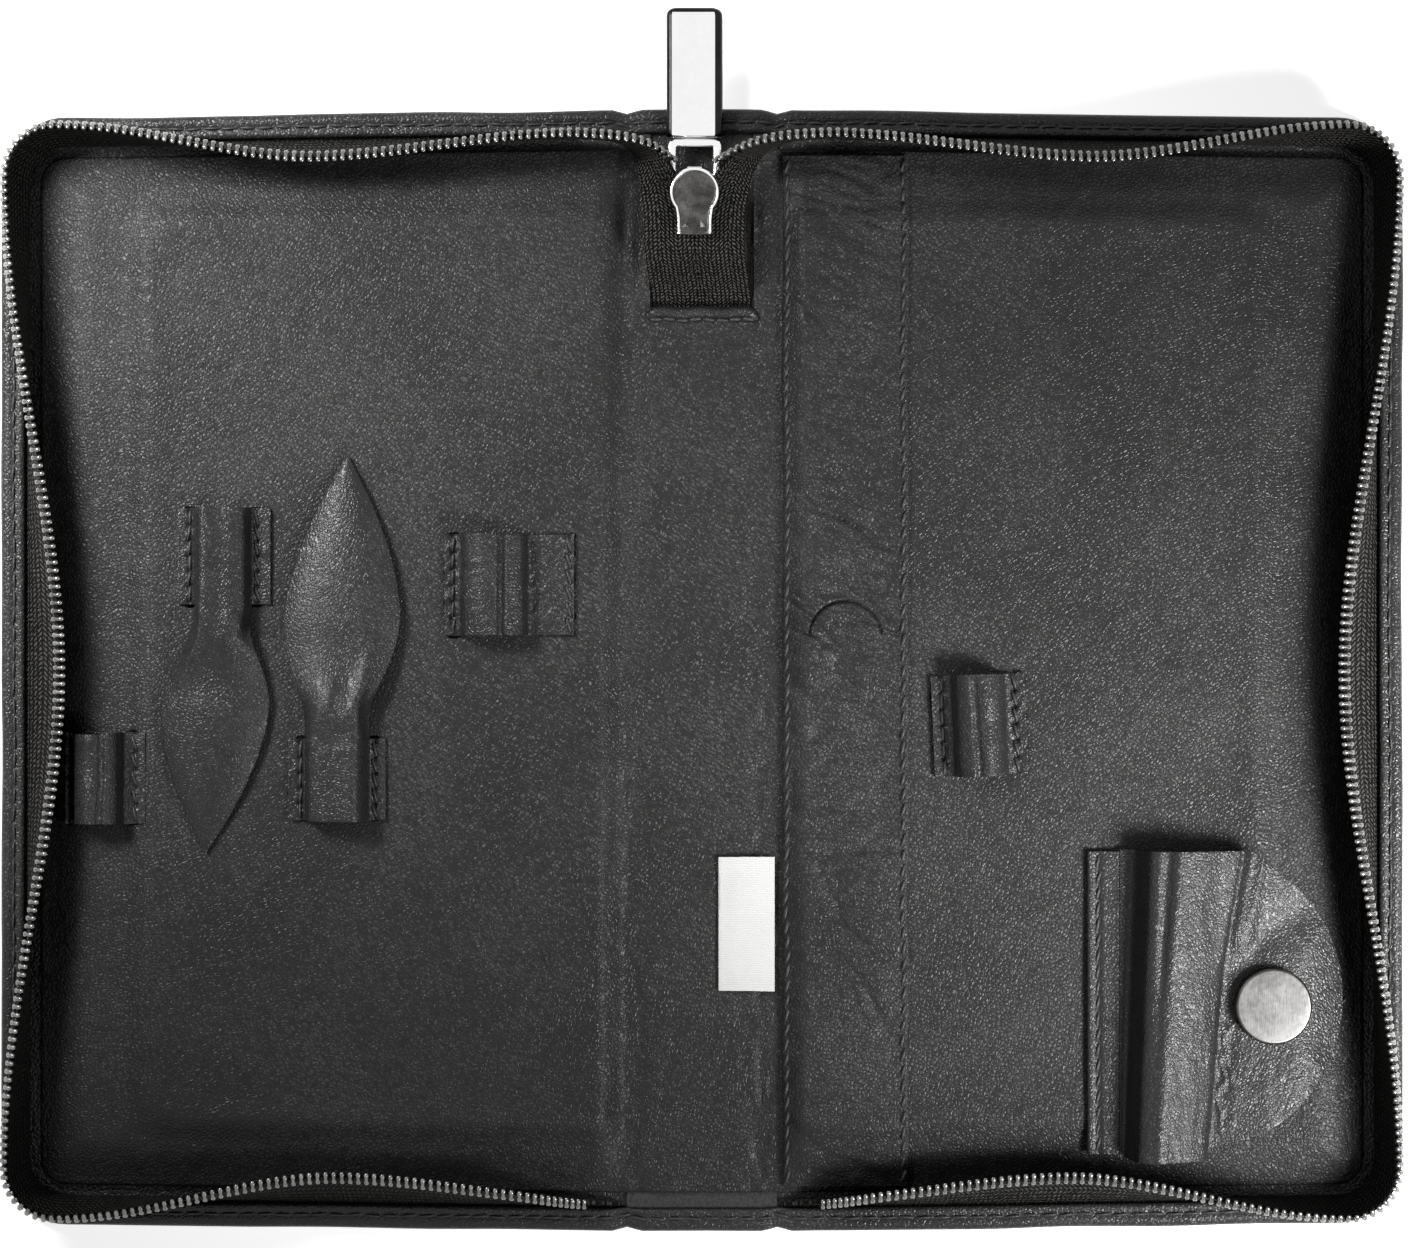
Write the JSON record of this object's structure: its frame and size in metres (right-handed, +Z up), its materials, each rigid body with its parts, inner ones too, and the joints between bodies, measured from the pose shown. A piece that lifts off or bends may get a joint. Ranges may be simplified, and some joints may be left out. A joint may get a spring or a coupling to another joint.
{
  "type": "zip-round manicure case",
  "caption": "Leather zip-round manicure case lying open like a book, with tool loops, scissor tongues, a file pocket and a snap-down clipper flap.",
  "frame": {"origin": "middle of the spine's underside, on the table, with the case lying open", "axes": "+X from the spine towards the right cover's fore edge, +Y along the spine towards the end with the zip slider, +Z up out of the open case"},
  "size_m": [0.211, 0.1837, 0.0138],
  "materials": {
    "shell_leather": "fine pebbled black nappa, low sheen",
    "lining_leather": "fine pebbled black nappa, low sheen",
    "board": "grey-brown stiffening board",
    "foam": "dark foam or felt padding",
    "zip_tape": "black woven tape",
    "zip_coil": "coil teeth with a dark nickel shine",
    "slider_metal": "polished dark nickel",
    "pull_metal": "bright chrome",
    "snap_metal": "satin gunmetal",
    "label_cloth": "white woven tag, bare"
  },
  "bodies": {
    "spine": {"spine_leather": "shell_leather", "spine_felt": "foam", "spine_lining": "lining_leather", "tail_welt": "lining_leather", "blank_label": "label_cloth", "left_zip_tail": "zip_tape", "right_zip_tail": "zip_tape", "tail_teeth": "zip_coil"},
    "left_cover": {"left_cover_leather": "shell_leather", "left_cover_board": "board", "left_cover_padding": "foam", "left_cover_lining": "lining_leather", "left_zip_tape": "zip_tape", "left_zip_teeth": "zip_coil", "left_zip_turn": "zip_tape", "left_turn_teeth": "zip_coil", "pusher_loop": "lining_leather", "tweezer_loop": "lining_leather", "short_scissor_loop": "lining_leather", "long_scissor_loop": "lining_leather"},
    "right_cover": {"right_cover_leather": "shell_leather", "right_cover_board": "board", "right_cover_padding": "foam", "right_cover_lining": "lining_leather", "right_zip_tape": "zip_tape", "right_zip_teeth": "zip_coil", "right_zip_turn": "zip_tape", "right_turn_teeth": "zip_coil", "cuticle_loop": "lining_leather", "file_pocket": "lining_leather", "clipper_flap_strip": "lining_leather", "snap_stud": "snap_metal"},
    "short_tongue": {"short_scissor_tongue": "lining_leather"},
    "long_tongue": {"long_scissor_tongue": "lining_leather"},
    "flap": {"clipper_flap": "lining_leather", "snap_cap": "snap_metal", "snap_socket": "snap_metal"},
    "slider": {"slider_body": "slider_metal", "slider_bail": "slider_metal"},
    "pull": {"pull_link": "pull_metal", "pull_grip": "pull_metal"}
  },
  "joints": [
    {"name": "left_fold", "type": "hinge", "parent": "spine", "child": "left_cover", "pos_m": [-0.0113, 0, 0.0027], "axis": [0, 1, 0], "range_deg": [0, 90], "deforming": ["left_zip_turn", "left_turn_teeth"]},
    {"name": "right_fold", "type": "hinge", "parent": "spine", "child": "right_cover", "pos_m": [0.0113, 0, 0.0027], "axis": [0, -1, 0], "range_deg": [0, 90], "deforming": ["right_zip_turn", "right_turn_teeth"]},
    {"name": "short_tongue_lift", "type": "hinge", "parent": "left_cover", "child": "short_tongue", "pos_m": [-0.0716, 0.0098, 0.0102], "axis": [1, 0, 0], "range_deg": [-80, 0]},
    {"name": "long_tongue_lift", "type": "hinge", "parent": "left_cover", "child": "long_tongue", "pos_m": [-0.0545, -0.0099, 0.0102], "axis": [-1, 0, 0], "range_deg": [-80, 0]},
    {"name": "flap_lift", "type": "hinge", "parent": "right_cover", "child": "flap", "pos_m": [0.0623, -0.0496, 0.006], "axis": [0, 1, 0], "range_deg": [-110, 0]},
    {"name": "slider_slide", "type": "slide", "parent": "spine", "child": "slider", "axis": [0, -1, 0], "range_m": [0, 0.005], "deforming": ["left_zip_tail", "right_zip_tail", "tail_teeth"]},
    {"name": "pull_swing", "type": "hinge", "parent": "slider", "child": "pull", "pos_m": [-0.0011, 0.07383, 0.0049], "axis": [-1, 0, 0], "range_deg": [-40, 0]}
  ]
}
